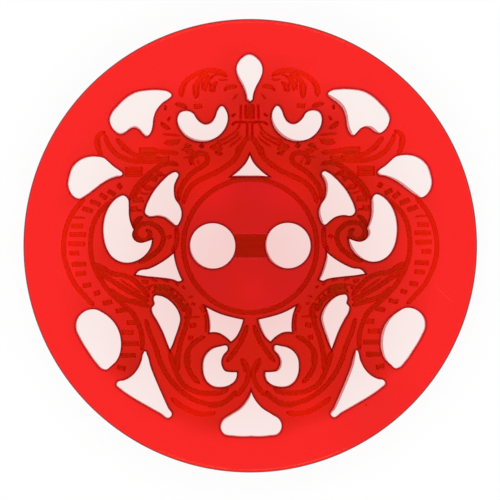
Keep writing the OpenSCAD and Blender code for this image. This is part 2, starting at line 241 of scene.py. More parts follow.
# hatching of the left half, shallow and only in the looks
hatchLines = {
    "brow": [
        [[190.5, 80], [186.5, 85], [185, 91], [184.6, 96.5]], [[195.5, 81.5], [195.3, 91], [197, 98.5]],
        [[200, 81], [199.8, 91], [198.7, 98.5]], [[203.5, 78], [203.8, 85], [203.2, 91]],
        [[211.8, 82], [211.6, 91.5]], [[216.2, 83.5], [215.6, 91.5]],
        [[200.5, 75], [204, 71.5], [209, 69.8]], [[219, 78.5], [224, 79.5], [230, 79]],
        [[210, 80], [213, 76.5], [218, 74], [224, 74.5], [228.5, 77]],
        [[225.8, 91.5], [227, 88.5]], [[234, 100], [237, 96], [240, 93]]
    ],
    "bridge": [
        [[249.9, 103.5], [249.9, 119.5]], [[236.5, 121.6], [241, 121.6]], [[248.5, 121.8], [251, 121.8]]
    ],
    "moustache": [
        [[241.8, 119], [240.8, 125], [238, 130], [232.5, 134.5], [225, 139], [217, 144], [211, 148]],
        [[241, 129.5], [239, 134], [234, 138.5], [227, 142.5], [220, 146.5]],
        [[243, 134], [240.5, 138.5], [235, 143], [229, 147]], [[217, 142.5], [220.5, 140], [226, 138.8]],
        [[240.5, 146], [239, 151]], [[222, 143.5], [220, 147]], [[213.5, 144], [215, 147.5]]
    ],
    "chin": [[[231.5, 178.2], [251, 178.2]]],
    "cheek": [
        [[163, 133.5], [172, 134], [182, 135.5]], [[181, 149], [188, 148.8], [196, 149.3]],
        [[184, 157.5], [192, 156.5], [200, 157]], [[192.5, 160], [195, 163.5], [196.5, 166.5]],
        [[197, 158.5], [199.5, 161.5], [200.5, 164.5]], [[166, 139.5], [174, 140], [183, 138.8]]
    ],
    "ear": [
        [[100.8, 136], [100.5, 142], [102, 149]], [[102.5, 130.8], [107, 131.3]],
        [[121, 144.5], [126, 149], [132, 152.5]], [[140, 147.8], [157, 148]], [[140, 152.3], [157, 152.6]],
        [[146, 154.4], [157, 154.6]], [[157, 158.2], [171, 156.2]]
    ],
    "limb": [
        [[134, 203], [136, 196], [141, 188.5], [148, 181], [155, 174.5]], [[163, 174], [168.5, 175.5]],
        [[151, 173.5], [160, 176.5]], [[143.5, 186], [148, 188.5], [155, 186.5]],
        [[140, 190.5], [146, 193], [150.5, 193]], [[135, 200.6], [145, 200.6]], [[132, 210], [143, 209.6]]
    ],
    "curl": [
        [[176.3, 226.5], [176.3, 233]], [[178.2, 226.5], [178.4, 233]], [[174.3, 245], [172.8, 251.5]],
        [[176.2, 245], [174.5, 252]]
    ],
    "scale": [[[73, 216.8], [80, 216.5], [87, 217.3]]],
    "fin": [
        [[103, 263], [110, 270], [122, 272]], [[106, 275], [118, 285], [130, 292]],
        [[120, 278], [130, 285], [142, 293]], [[97.5, 262], [100.5, 271], [104.5, 279.5]],
        [[112, 289.5], [120, 295.5], [129, 297.8]], [[124, 299.8], [136, 299.6], [149, 303.4]]
    ],
    "thigh": [
        [[142, 279.5], [149, 281]], [[142.5, 281.5], [148.5, 282.6]], [[152, 278.6], [158, 280.5]],
        [[163, 279], [170, 281.5]], [[175, 281], [179, 285.5]], [[183, 285.5], [186, 288.5]],
        [[144, 287.5], [151, 285.2], [160, 284.6], [168, 285.8], [176, 290], [183, 297], [187, 302]],
        [[153, 288.8], [160, 289.6], [168, 290.6], [175, 293.4]], [[189, 297], [194, 295.8]],
        [[191.5, 303], [196, 304]], [[190, 317], [195, 316.4], [201, 316.6]]
    ],
    "band": [
        [[150.5, 284.5], [149, 290]], [[156.5, 284], [155.5, 290.5]], [[162.5, 284.5], [161, 291]],
        [[168.5, 286], [166.5, 292]], [[174, 289], [171, 294.5]], [[179, 293], [175.5, 297.5]],
        [[183.5, 298], [179.5, 301.5]], [[182, 304], [187, 304.2]], [[184, 317], [188, 317.2]]
    ],
    "tail": [
        [[190.6, 304], [191.2, 312], [190, 320]], [[190, 351], [189.4, 358], [190.6, 364]],
        [[239.5, 360.5], [243.5, 366], [244.6, 373]], [[204.6, 312], [206, 319], [206.4, 327], [205.4, 333]],
        [[176, 352], [175.4, 360], [176, 368]], [[206, 405.6], [216, 406.2], [225, 403.6]]
    ],
}

# marks of wear, not mirrored: pale scratches, and small nicks at the cuts, dark with painted shade
wornLines = [
    [[436, 287], [444, 294.5], [453, 303]], [[424, 371.5], [426, 372.5]]
]
nickLines = [
    [[102.2, 180.6], [104, 182]], [[62, 243.5], [64.5, 246.5]], [[226, 227.2], [228.5, 228.6]],
    [[184, 105.5], [189, 109]], [[272.5, 228.5], [274.5, 227.2]], [[365, 404.5], [367.5, 406]]
]

# all lengths in mm
carving = {
    "rimRound": 0.35,       # polished round of the rim
    "rimSides": 320,
    "rimSteps": 6,
    "brightSteps": 3,       # steps of the round, from the flat on, that are as bright as the face; the rest take the broken edge's painted shade
    "edgeWide": 0.12,       # broken edge round openings and holes
    "edgeMitre": 0.35,      # least cosine at a mitred corner
    "edgeClear": 0.8,       # share of its width that the edge keeps clear of other stretches
    "edgeFade": 0.2,        # beyond the broken edge the painted shade along a cut fades and the face brightens over this length
    "holeAcross": 3.4,
    "holePitch": 5.65,
    "holeSides": 96,
    "grooveWide": 1.9,
    "grooveDeep": 0.5,
    "grooveSlope": 0.07,    # how far the groove's long walls lean in
    "ringAcross": 10,
    "ringLap": 0.02,        # radians by which each half of the ring runs past the other's end
    "contourWide": 0.38,
    "fineWide": 0.22,
    "lineDeep": 0.25,
    "hatchWide": 0.19,
    "hatchDeep": 0.14,
    "strongHatch": ("chin", "band"),  # hatching with a darkness of its own
    "wornWide": 0.09,
    "wornDeep": 0.02,
    "tipLong": 0.3,         # a line runs out over this length at each end
    "tipShare": 0.02,       # the root of this share of its width is left at the very end
    "barMiddle": 0.95,      # darkness in the middle of a short bar, as a share
    "tipFrom": 3,           # a line drawn through fewer points than this ends square and has no tips
    "step": 0.14,           # spacing of points along outlines and lines
    "joinWithin": 0.0008,   # points closer than this are one
    "sharpFrom": 40,        # degrees between faces that stay a crisp edge
}
# across a line, from its edge to its middle: shares of the half width, of the depth and of the darkness,
# which is painted shade
lineProfile = ((1.0, 0.0, 0.3), (0.74, 0.8, 1.0), (0.0, 1.0, 0.7))
usualMiddle = lineProfile[-1][-1]
# painted shade: share of light that a line keeps back where it is darkest
lineDark = {
    "brow": 0.12, "ear": 0.18, "cheek": 0.32, "neck": 0.28, "limb": 0.32, "curl": 0.40, "back": 0.30,
    "scale": 0.29, "fin": 0.32, "tail": 0.28, "bridge": 0.28, "ring": 0.31, "hatch": 0.30, "chin": 0.45,
    "band": 0.42, "nick": 0.4, "worn": 0.0,
}
# lines whose painted shade is darker or fainter than the rest of their group, by their place in it
lineDarkAt = {
    "brow": {4: 0.20},
    "cheek": {1: 0.20, 3: 0.60, 5: 0.22, 7: 0.20, 8: 0.55, 9: 0.20, 10: 0.38, 11: 0.60, 12: 0.50},
    "neck": {1: 0.23},
    "limb": {3: 0.18, 4: 0.21, 5: 0.26, 6: 0.42},
    "curl": {1: 0.52, 2: 0.29, 3: 0.18},
    "back": {0: 0.22},
    "scale": {
        0: 0.42, 4: 0.15, 5: 0.19, 6: 0.15, 7: 0.19, 9: 0.21, 13: 0.34, 14: 0.21, 15: 0.18, 17: 0.34
    },
    "fin": {3: 0.42},
    "tail": {4: 0.10, 5: 0.19, 6: 0.17, 7: 0.14, 9: 0.19},
    "bridge": {2: 0.36},
}
# walls that face away from the upright spot lean, so that their foot stands aside, lengths in mm
cutLean = {
    "upright": (-8.25, -4),
    "slope": 0.0135,        # mm aside for each mm from that spot
    "fade": 0.35,           # what is near a wall moves with it, less and less over this length
    "roomShare": 0.5,       # most of an opening's width that the lean takes
    "softer": 8,            # times that the lean is evened out along an outline
    "evening": (0.25, 0.5, 0.25),  # shares of the point before, the point itself and the one after
    "nearest": 4,           # stretches of outline that are tried for the nearest spot
}


def unit(v):
    return v / np.linalg.norm(v)


# from the drawing to mm on the face
def onFace(drawn):
    return [np.array((p[0] - drawing["axis"], drawing["middle"] - p[1])) * mmPerPx for p in drawn]


# a drawn point with a third entry
def isSharp(drawnPoint):
    return len(drawnPoint) > 2


# heading of the round curve through three points, at the middle one
def heading(a, b, c):
    return unit(unit(b - a) * np.linalg.norm(c - b) + unit(c - b) * np.linalg.norm(b - a))


# closely spaced points on a smooth curve through the points given
def smoothCurve(points, sharp, closed):
    count = len(points)
    path = []
    for i in range(count if closed else count - 1):
        j = (i + 1) % count
        p, q = points[i], points[j]
        reach = np.linalg.norm(q - p)
        chord = (q - p) / reach
        pRound = chord if sharp[i] else heading(points[i - 1], p, q)
        qRound = chord if sharp[j] else heading(p, q, points[(j + 1) % count])
        leave = 2 * (qRound @ chord) * chord - qRound if sharp[i] else pRound
        arrive = 2 * (pRound @ chord) * chord - pRound if sharp[j] else qRound
        pieces = max(1, math.ceil(reach / carving["step"]))
        for s in np.arange(pieces) / pieces:
            path.append(
                p * (2 * s**3 - 3 * s**2 + 1) + q * (3 * s**2 - 2 * s**3)
                + (leave * (s**3 - 2 * s**2 + s) + arrive * (s**3 - s**2)) * reach
            )
    if not closed:
        path.append(points[-1])
    return path


def flipped(path):
    return [np.array((-p[0], p[1])) for p in path]


def circle(x, radius, sides):
    turns = np.arange(sides) * 2 * math.pi / sides
    return [np.array((x + radius * math.cos(a), radius * math.sin(a))) for a in turns]


# a closed path, turned round if it runs to the right
def leftTurning(path):
    xy = np.array(path)
    ahead = np.roll(xy, -1, axis=0)
    area = (xy[:, 0] * ahead[:, 1] - xy[:, 1] * ahead[:, 0]).sum() / 2
    return path if area > 0 else path[::-1]


# how far a point is from a closed path
def gapTo(path, point):
    start = np.array(path)
    run = np.roll(start, -1, axis=0) - start
    share = np.clip(((point - start) * run).sum(1) / (run * run).sum(1), 0, 1)
    return np.linalg.norm(start + run * share[:, None] - point, axis=1).min()


# outline moved outwards with mitred corners, and less far where it would cross itself
def widened(path, distance):
    count = len(path)
    moved = []
    for i in range(count):
        before = unit(path[i] - path[i - 1])
        after = unit(path[(i + 1) % count] - path[i])
        out = unit(np.array((before[1] + after[1], -before[0] - after[0])))
        out = out / max(carving["edgeMitre"], out @ np.array((before[1], -before[0])))
        reach = distance
        while gapTo(path, path[i] + out * reach) < carving["edgeClear"] * reach:
            reach *= carving["edgeClear"]
        moved.append(path[i] + out * reach)
    return moved


# openings of both halves, then the two sewing holes
def openingOutlines():
    found = []
    for drawn in pairedOpenings.values():
        path = smoothCurve(onFace(drawn), [isSharp(p) for p in drawn], True)
        found += [path, flipped(path)]
    for drawn in middleOpenings.values():
        mirrored = [[2 * drawing["axis"] - p[0], *p[1:]] for p in drawn[-2:0:-1]]
        whole = drawn + mirrored
        found.append(smoothCurve(onFace(whole), [isSharp(p) for p in whole], True))
    aside, radius = carving["holePitch"] / 2, carving["holeAcross"] / 2
    found += [circle(x, radius, carving["holeSides"]) for x in (-aside, aside)]
    return [leftTurning(path) for path in found]


# a cut line: its path, half width at each point, depth, darkness, and how much of that its middle has
def cutLine(path, wide, deep, dark, runsOut=True, middle=usualMiddle):
    along = np.cumsum([0] + [np.linalg.norm(b - a) for a, b in zip(path, path[1:])])
    ends = np.minimum(along, along[-1] - along) / carving["tipLong"]
    share = np.sqrt(np.clip(ends, carving["tipShare"], 1)) if runsOut else np.ones(len(path))
    return path, share * wide / 2, deep, dark, middle


def drawnPath(drawn):
    ends = [i in (0, len(drawn) - 1) for i in range(len(drawn))]
    return smoothCurve(onFace(drawn), ends, False)


# lines of both halves, the ring round the sewing holes and the nicks
def engravedLines():
    found = []
    for table, kind in ((contourLines, "contour"), (fineLines, "fine"), (hatchLines, "hatch")):
        wide = carving[kind + "Wide"]
        deep = carving["hatchDeep" if kind == "hatch" else "lineDeep"]
        for group, number, drawn in ((g, n, d) for g in table for n, d in enumerate(table[g])):
            plainHatch = kind == "hatch" and group not in carving["strongHatch"]
            usual = lineDark["hatch" if plainHatch else group]
            dark = usual if kind == "hatch" else lineDarkAt.get(group, {}).get(number, usual)
            path, runsOut = drawnPath(drawn), len(drawn) >= carving["tipFrom"]
            middle = usualMiddle if runsOut else carving["barMiddle"]
            found += [cutLine(p, wide, deep, dark, runsOut, middle) for p in (path, flipped(path))]
    radius, lap = carving["ringAcross"] / 2, carving["ringLap"]
    for half in (0, math.pi):
        turns = half + np.linspace(-lap, math.pi + lap, round(math.pi * radius / carving["step"]))
        ring = [radius * np.array((math.cos(a), math.sin(a))) for a in turns]
        found.append(cutLine(ring, carving["contourWide"], carving["lineDeep"], lineDark["ring"], False))
    for drawn in nickLines:
        found.append(cutLine(drawnPath(drawn), carving["fineWide"], carving["hatchDeep"], lineDark["nick"]))
    return found


def wornMarks():
    wide, deep = carving["wornWide"], carving["wornDeep"]
    return [cutLine(drawnPath(drawn), wide, deep, lineDark["worn"]) for drawn in wornLines]


# nearest spot on some straight pieces: its distance, itself, the piece's number and the share along it
def nearestOn(pieces, point, numbers):
    best = None
    for i in numbers:
        a, b = pieces[i][:2]
        share = min(1.0, max(0.0, (point - a) @ (b - a) / ((b - a) @ (b - a))))
        spot = a + (b - a) * share
        gap = np.linalg.norm(point - spot)
        if best is None or gap < best[0]:
            best = (gap, spot, i, share)
    return best


# search tree of the middles of straight pieces
def treeOf(pieces):
    tree = kdtree.KDTree(len(pieces))
    for i, piece in enumerate(pieces):
        tree.insert((*((piece[0] + piece[1]) / 2), 0), i)
    tree.balance()
    return tree


# depth and painted shade of the engraving at a point: the most of the lines that pass it
def engravedDepth(lines):
    pieces = [
        (a, b, ha, hb, deep, dark, middle)
        for path, half, deep, dark, middle in lines
        for a, b, ha, hb in zip(path, path[1:], half, half[1:])
    ]
    tree = treeOf(pieces)
    reach = carving["contourWide"] / 2 + carving["step"]
    shares, depths, shades = zip(*reversed(lineProfile))

    def depthAt(point):
        deepest = darkest = 0.0
        for found in tree.find_range((*point, 0), reach):
            gap, spot, i, share = nearestOn(pieces, point, [found[1]])
            a, b, ha, hb, deep, dark, middle = pieces[i]
            half = ha + (hb - ha) * share
            thin = min(1.0, 2 * half / carving["hatchWide"])  # tips are shallower and paler
            if gap < half:
                deepest = max(deepest, deep * thin * float(np.interp(gap / half, shares, depths)))
                shade = float(np.interp(gap / half, shares, (middle, *shades[1:])))
                darkest = max(darkest, dark * thin * shade)
        return deepest, darkest

    return depthAt


# share of the lean at each point of an outline: none on walls that face back, less in narrow places
def leanShares(path):
    spots = np.array(path)
    run = np.roll(spots, -1, axis=0) - spots
    along = np.roll(spots, -1, axis=0) - np.roll(spots, 1, axis=0)
    away = spots - np.array(cutLean["upright"])
    reach = np.linalg.norm(away, axis=1)
    way = away / reach[:, None]
    facing = (along[:, 0] * way[:, 1] - along[:, 1] * way[:, 0]) / np.linalg.norm(along, axis=1)
    shares = np.clip(facing, 0, 1)
    # less where the opening is narrow in the way that the wall leans
    for i, (spot, w) in enumerate(zip(spots, way)):
        gap = spots - spot
        with np.errstate(divide="ignore", invalid="ignore"):
            turn = w[0] * run[:, 1] - w[1] * run[:, 0]
            across = (gap[:, 0] * run[:, 1] - gap[:, 1] * run[:, 0]) / turn
            share = (gap[:, 0] * w[1] - gap[:, 1] * w[0]) / turn
        met = across[(across > carving["joinWithin"]) & (share >= 0) & (share <= 1)]
        if len(met):
            shares[i] *= min(1.0, met.min() * cutLean["roomShare"] / (reach[i] * cutLean["slope"]))
    before, here, after = cutLean["evening"]
    for again in range(cutLean["softer"]):
        shares = before * np.roll(shares, 1) + here * shares + after * np.roll(shares, -1)
    return shares


# nearest spot on the outlines, how far it is, and the share of the lean there
def outlineSpot(openings):
    pieces = []
    for path in openings:
        shares = leanShares(path)
        pieces += [(path[i - 1], path[i], shares[i - 1], shares[i]) for i in range(len(path))]
    tree = treeOf(pieces)

    def spotAt(point):
        numbers = [found[1] for found in tree.find_n((*point, 0), cutLean["nearest"])]
        gap, spot, i, along = nearestOn(pieces, point, numbers)
        first, second = pieces[i][2:]
        return spot, gap, first + (second - first) * along

    return spotAt


finishSlots = ("face", "cut", "edge", "engraved", "groove", "worn")


# a spot below the face moves aside with a leaning wall near it
def leaned(spot, z, spotAt):
    down = 1 - z / faceHeight
    if down <= 0:
        return spot
    gap, share = spotAt(spot)[1:]
    share *= max(0.0, 1 - gap / cutLean["fade"])
    return spot + (spot - np.array(cutLean["upright"])) * cutLean["slope"] * share * down


# rows of points along both sides of a line, a pair for each step of its profile from the edge inwards
def lineRails(path, half):
    ahead = [unit(b - a) for a, b in zip(path[:1] + path[:-1], path[1:] + path[-1:])]
    side = [np.array((-d[1], d[0])) for d in ahead]
    return [
        [p + s * h * share * way for p, s, h in zip(path, side, half)]
        for share, sunk, shade in lineProfile[:-1]
        for way in (1, -1)
    ]


# the face from above, cut into triangles that know which loops they lie in: rim, openings, groove, lines
def layOutFace(openings, lines, marks):
    points, edges, loops = [], [], []

    def addPath(path):
        start = len(points)
        points.extend(Vector(p) for p in path)
        return list(range(start, len(points)))

    rimLoop = addPath(circle(0, faceRadius - carving["rimRound"], carving["rimSides"]))
    loops.append(rimLoop)
    wallSpot = {}
    for path in openings:
        loop = addPath(widened(path, carving["edgeWide"]))
        wallSpot.update(zip(loop, path))
        loops.append(loop)
        fade = addPath(widened(path, carving["edgeWide"] + carving["edgeFade"]))
        edges.extend(zip(fade, fade[1:] + fade[:1]))
    grooveLoop = len(loops)
    x, y = carving["holePitch"] / 2, carving["grooveWide"] / 2
    loops.append(addPath([np.array(p) for p in ((-x, -y), (x, -y), (x, y), (-x, y))]))
    firstLine = len(loops)
    for path, half in (line[:2] for line in lines + marks):
        rails = [addPath(rail) for rail in lineRails(path, half)]
        loops.append(rails[1] + rails[0][::-1])
        for rail in [addPath(path)] + rails[2:]:
            edges.extend(zip(rail, rail[1:]))
    insideLoops = 1  # makes triangles only where there is a loop round them
    made = geometry.delaunay_2d_cdt(points, edges, loops, insideLoops, carving["joinWithin"])
    spots, sides, triangles, cameFrom, sidesFrom, within = made
    holes = set(range(1, grooveLoop))
    kept = [(tri, set(w)) for tri, w in zip(triangles, within) if holes.isdisjoint(w)]
    print("face laid out:", len(kept), "triangles")
    return SimpleNamespace(
        spots=[np.array(p) for p in spots],
        triangles=kept,
        cameFrom=cameFrom,
        wallSpot=wallSpot,
        onRim={v for v, olds in enumerate(cameFrom) if not set(rimLoop).isdisjoint(olds)},
        grooveLoop=grooveLoop,
        firstLine=firstLine,
        firstMark=firstLine + len(lines),
    )


def finishOf(face, within):
    if face.grooveLoop in within:
        return "groove"
    if any(face.firstLine <= w < face.firstMark for w in within):
        return "engraved"
    return "worn" if max(within) >= face.firstMark else "face"


def buttonMesh():
    openings = openingOutlines()
    lines, marks = engravedLines(), wornMarks()
    print("outlines drawn:", len(openings), "openings,", len(lines), "lines and", len(marks), "marks")
    face = layOutFace(openings, lines, marks)
    spots = face.spots
    depthAt, spotAt = engravedDepth(lines + marks), outlineSpot(openings)
    flat = {v for tri, w in face.triangles if max(w) < face.firstLine for v in tri}
    depth = {v: depthAt(spots[v]) for v in {v for tri, w in face.triangles for v in tri} - flat}
    verts, polygons, slots, edgeShades, lineShades = [], [], [], [], []

    def put(spot, z, edgeShade=0.0, lineShade=0.0):
        x, y = leaned(spot, z, spotAt)
        verts.append((x * mm, y * mm, z * mm))
        edgeShades.append(edgeShade)
        lineShades.append(lineShade)
        return len(verts) - 1

    def addFace(corners, finish):
        polygons.append(corners)
        slots.append(finishSlots.index(finish))

    # painted shade along the cuts: full at the broken edge, fading out over edgeFade
    def shadeAt(spot):
        past = spotAt(spot)[1] - carving["edgeWide"]
        return min(1.0, max(0.0, 1 - past / carving["edgeFade"]))

    # a point on the groove's outline stands at both levels, on the face and on the groove's floor
    faceLevel, grooveLevel = 0, 1
    grooveNarrower = 1 - carving["grooveSlope"] / (carving["grooveWide"] / 2)
    tops, heights, backs, columns = {}, {}, {}, {}

    def top(v, level):
        if (v, level) not in tops:
            spot, (sunk, dark) = spots[v], depth.get(v, (0.0, 0.0))
            if level == grooveLevel:
                spot, sunk = spot * (1, grooveNarrower), carving["grooveDeep"]
            heights[v, level] = faceHeight - sunk
            tops[v, level] = put(spot, faceHeight - sunk, shadeAt(spots[v]), dark)
        return tops[v, level]

    def back(v):
        if v not in backs:
            backs[v] = put(spots[v], 0)
        return backs[v]

    # face and back, and the sides of their triangles with the level they are at
    border = {}
    for tri, within in face.triangles:
        level = grooveLevel if face.grooveLoop in within else faceLevel
        addFace([top(v, level) for v in tri], finishOf(face, within))
        addFace([back(v) for v in tri[::-1]], "face")
        for i in range(3):
            border[tri[i - 1], tri[i]] = level

    # rows of points down a wall: first the levels at the face, last the broken edge at the back
    def column(v):
        if v not in columns:
            olds = [o for o in face.cameFrom[v] if o in face.wallSpot]
            spot = face.wallSpot[olds[0]] if olds else spotAt(spots[v])[0]
            levels = [k for k in (faceLevel, grooveLevel) if (v, k) in tops]
            rows = {k: put(spot, heights[v, k] - carving["edgeWide"], edgeShade=1.0) for k in levels}
            rows["back"] = put(spot, carving["edgeWide"])
            columns[v] = rows
        return columns[v]

    # rows of points down the rounded rim, and the finish between each two
    rimRound, steps, bright = carving["rimRound"], carving["rimSteps"], carving["brightSteps"]
    turns = [math.pi / 2 * k / steps for k in range(1, steps + 1)]
    arc = [(faceRadius - rimRound + rimRound * math.sin(a), rimRound * (1 - math.cos(a))) for a in turns]
    rimRows = [(radius, faceHeight - drop) for radius, drop in arc] + arc[::-1]
    # outer steps of the round take the dark edge finish: painted shade
    halfRim = ["face"] * bright + ["edge"] * (steps - bright)
    rimFinishes = halfRim + ["cut"] + halfRim[::-1]

    def rimColumn(v):
        if v not in columns:
            columns[v] = [put(unit(spots[v]) * radius, z) for radius, z in rimRows]
        return columns[v]

    for (a, b), level in border.items():
        other = border.get((b, a))
        if other is None and a in face.onRim and b in face.onRim:
            left = [top(a, level)] + rimColumn(a) + [back(a)]
            right = [top(b, level)] + rimColumn(b) + [back(b)]
            for k, finish in enumerate(rimFinishes):
                addFace([left[k], left[k + 1], right[k + 1], right[k]], finish)
        elif other is None:
            left, right = column(a), column(b)
            addFace([top(a, level), left[level], right[level], top(b, level)], "edge")
            down = [row for key, row in left.items() if key == "back" or key >= level]
            up = [row for key, row in right.items() if key == "back" or key >= level]
            addFace(down + up[::-1], "cut")
            addFace([left["back"], back(a), back(b), right["back"]], "face")
        elif other != level and level == faceLevel:
            addFace([top(a, faceLevel), top(a, grooveLevel), top(b, grooveLevel), top(b, faceLevel)], "cut")
    # small upright where the groove's wall meets the edge of a hole
    for (a, b), level in border.items():
        if level == faceLevel and border.get((b, a)) == grooveLevel:
            for v, way in ((b, 1), (a, -1)):
                if v in columns:
                    rows = columns[v]
                    quad = [top(v, faceLevel), top(v, grooveLevel), rows[grooveLevel], rows[faceLevel]]
                    addFace(quad[::way], "edge")

    mesh = bpy.data.meshes.new("button_carved")
    mesh.from_pydata(verts, [], polygons)
    mesh.polygons.foreach_set("material_index", slots)
    for name, values in (("edgeShade", edgeShades), ("lineShade", lineShades)):
        mesh.attributes.new(name, "FLOAT", "POINT").data.foreach_set("value", values)
    mesh.shade_smooth()
    mesh.set_sharp_from_angle(angle=math.radians(carving["sharpFrom"]))
    print("button carved:", len(verts), "points and", len(polygons), "faces")
    return mesh


# colours are linear; light that comes up through the button crosses two surfaces, each takes its share
acrylic = {
    # the middle's reds are darker than the rim's: painted shade
    "rimRed": (1.0, 0.013, 0.021),
    "shadedMidRed": (0.67, 0.0025, 0.003),
    "crimson": (0.71, 0.002, 0.017),
    "crimsonTo": 4.2,        # mm from the middle up to which it is crimson
    "crimsonNone": 6.5,
    "paleFrom": 7.8,         # mm from the middle where the painted shade starts to lift and the red brightens
    "paleTo": 14.8,          # and where it is as bright as at the rim
    "paleCurve": 1.2,
    "cloudScale": 0.18,      # clouds that make the border of the brightening wander
    "cloudFrom": 0.3,
    "cloudTo": 0.7,
    "cloudReach": 0.9,       # mm by which it wanders
    "hazeScale": 0.3,        # haze in the crimson
    "hazeFrom": 0.4,
    "hazeTo": 0.65,
    "hazeLeast": 0.4,
    "edgeDark": (0.52, 0.27),  # painted shade: share of light that the face loses along a cut, most and least
    "edgeCurve": 1.4,
    "easeFrom": 10.0,        # mm from the middle where cuts start to look paler
    "easeTo": 13.0,
    "easeFadeFrom": 15.4,    # and where that ends, short of the rim
    "easeFadeTo": 16.2,
    "holesTo": 4.6,          # the sewing holes look paler too
    "holesEnd": 5.2,
    "holesEase": 0.6,
    "lowShare": 0.7,         # painted shade: share of the brightening which the ornament lacks towards the base
    "lowFrom": -3.0,
    "lowTo": -9.0,
    "lowFadeFrom": 13.2,     # mm from the middle where that ends
    "lowFadeTo": 14.8,
    "index": 1.49,
    "shine": (1.0, 0.35, 0.12),
    "polish": 0.03,
    "smudge": 0.08,          # roughness that a smudge adds
    "smudgeScale": 0.35,
    "smudgeFrom": 0.45,
    "smudgeTo": 0.75,
    "fineDetail": 4.0,
    "coarseDetail": 2.0,
}
# painted light and shade at places that look paler or darker: x to each side, y and reach in mm, then the
# tone on the left and right
lightAndShadeTones = {
    "brow": (4.2, 12.3, 2.8, 1.08, 1.06),
    "crest": (0.8, 10.8, 1.6, 0.88, 0.92),
    "temple": (5.7, 8.9, 1.8, 1.08, 0.88),
    "ear": (7.4, 7.2, 2.6, 1.22, 1.20),
    "cheek": (5.6, 5.9, 1.8, 1.00, 0.82),
    "neck": (3.2, 4.5, 3.3, 1.22, 1.15),
    "curl": (8.0, 0.9, 2.0, 1.00, 0.78),
    "ringSide": (5.5, 1.2, 1.5, 0.97, 0.88),
    "band": (12.8, -0.5, 3.0, 1.03, 1.07),
    "fin": (9.2, -2.5, 2.4, 1.18, 0.87),
    "thigh": (5.0, -3.6, 2.2, 0.90, 0.90),
    "disc": (0.0, -3.6, 2.4, 1.05, 1.05),
    "flank": (8.7, -9.0, 1.5, 0.86, 0.94),
    "base": (4.0, -11.6, 2.5, 1.25, 1.20),
    "lowRim": (9.4, -12.4, 5.5, 1.00, 0.92),
}
cutEdges = {
    "wallRed": (1.0, 0.25, 0.24),
    "footShadeRed": (0.16, 0.01, 0.01),
    "footTop": 1.1,          # mm above the back up to which the wall is dark with painted shade
    "wallRough": 0.35,
    "edgeShare": (0.10, 0.20),  # painted shade: share of the red that is left in a broken edge
    "edgeEase": 2.2,         # that share is this many times larger near the rim
    "edgeRough": 0.3,
    "edgeShine": (0.2, 0.1, 0.08),
    "grainScale": 9.0,
    "grainDeep": 0.02,
    "grainFrom": 0.35,
    "grainTo": 0.7,
    "grainDetail": 3.0,
    "streak": (1, 1, 0.12),  # the grain is drawn out down the wall
}
engraving = {
    "grainReach": (0.8, 1.2),  # the darkness of a line varies by these shares
    "surfaces": 2.0,         # a line darkens one of the two surfaces, so it does for both
    "tint": (1.0, 0.6, 0.03),
    "rough": 0.4,
    "grainScale": 5.0,
    "grainDeep": 0.02,
    "shine": (0.4, 0.22, 0.02),
    # the groove floor's reds are painted shade, its lit red painted light towards the crest
    "grooveShadeRed": (0.22, 0.0006, 0.0002),
    "grooveShadePale": (0.30, 0.0008, 0.0003),
    "grooveLit": (0.40, 0.001, 0.0005),
    "litFrom": 0.5,          # mm towards the crest where the groove's painted light starts
    "litTo": 1.0,
    "grooveRough": 0.25,
    "grooveScale": 1.0,
    "grooveStreak": (0.4, 6.0, 0.4),  # marks are close across the groove and long along it
    "wornRed": (1.0, 0.05, 0.05),
    "wornRough": 0.4,
}
# sockets of a Mix node that mixes colours
mixSocket = {"share": 0, "first": 6, "second": 7, "result": 2}


def addNode(tree, kind, inputs=None, **settings):
    node = tree.nodes.new(kind)
    for key, value in settings.items():
        setattr(node, key, value)
    for key, value in (inputs or {}).items():
        if isinstance(value, bpy.types.NodeSocket):
            tree.links.new(value, node.inputs[key])
        else:
            node.inputs[key].default_value = value
    return node


def newFinish(name, rough, shine):
    material = bpy.data.materials.new(name)
    material.use_nodes = True
    tree = material.node_tree
    shader = tree.nodes["Principled BSDF"]
    shader.inputs["IOR"].default_value = acrylic["index"]
    shader.inputs["Transmission Weight"].default_value = 1.0
    shader.inputs["Roughness"].default_value = rough
    shader.inputs["Specular Tint"].default_value = (*shine, 1)
    return material, tree, shader


# place on the button in mm
def placeMm(tree, stretch=(1, 1, 1)):
    spot = addNode(tree, "ShaderNodeTexCoord").outputs["Object"]
    inputs = {0: spot, 1: [s / mm for s in stretch]}
    return addNode(tree, "ShaderNodeVectorMath", inputs, operation="MULTIPLY").outputs[0]


def distanceMm(tree, centre):
    flat = placeMm(tree, (1, 1, 0))
    return addNode(tree, "ShaderNodeVectorMath", {0: flat, 1: centre}, operation="DISTANCE").outputs["Value"]


def arithmetic(tree, operation, first, second):
    return addNode(tree, "ShaderNodeMath", {0: first, 1: second}, operation=operation).outputs[0]


def noise(tree, where, scale, detail):
    inputs = {"Vector": where, "Scale": scale, "Detail": detail}
    return addNode(tree, "ShaderNodeTexNoise", inputs).outputs["Fac"]


def ranged(tree, value, start, end, first=0.0, last=1.0, way="SMOOTHSTEP"):
    inputs = {"Value": value, "From Min": start, "From Max": end, "To Min": first, "To Max": last}
    return addNode(tree, "ShaderNodeMapRange", inputs, interpolation_type=way).outputs["Result"]


def mixed(tree, share, first, second):
    first, second = ((*c, 1) if isinstance(c, tuple) else c for c in (first, second))
    inputs = {mixSocket["share"]: share, mixSocket["first"]: first, mixSocket["second"]: second}
    return addNode(tree, "ShaderNodeMix", inputs, data_type="RGBA").outputs[mixSocket["result"]]


def dimmed(tree, colour, share):
    return addNode(tree, "ShaderNodeVectorMath", {0: colour, "Scale": share}, operation="SCALE").outputs[0]


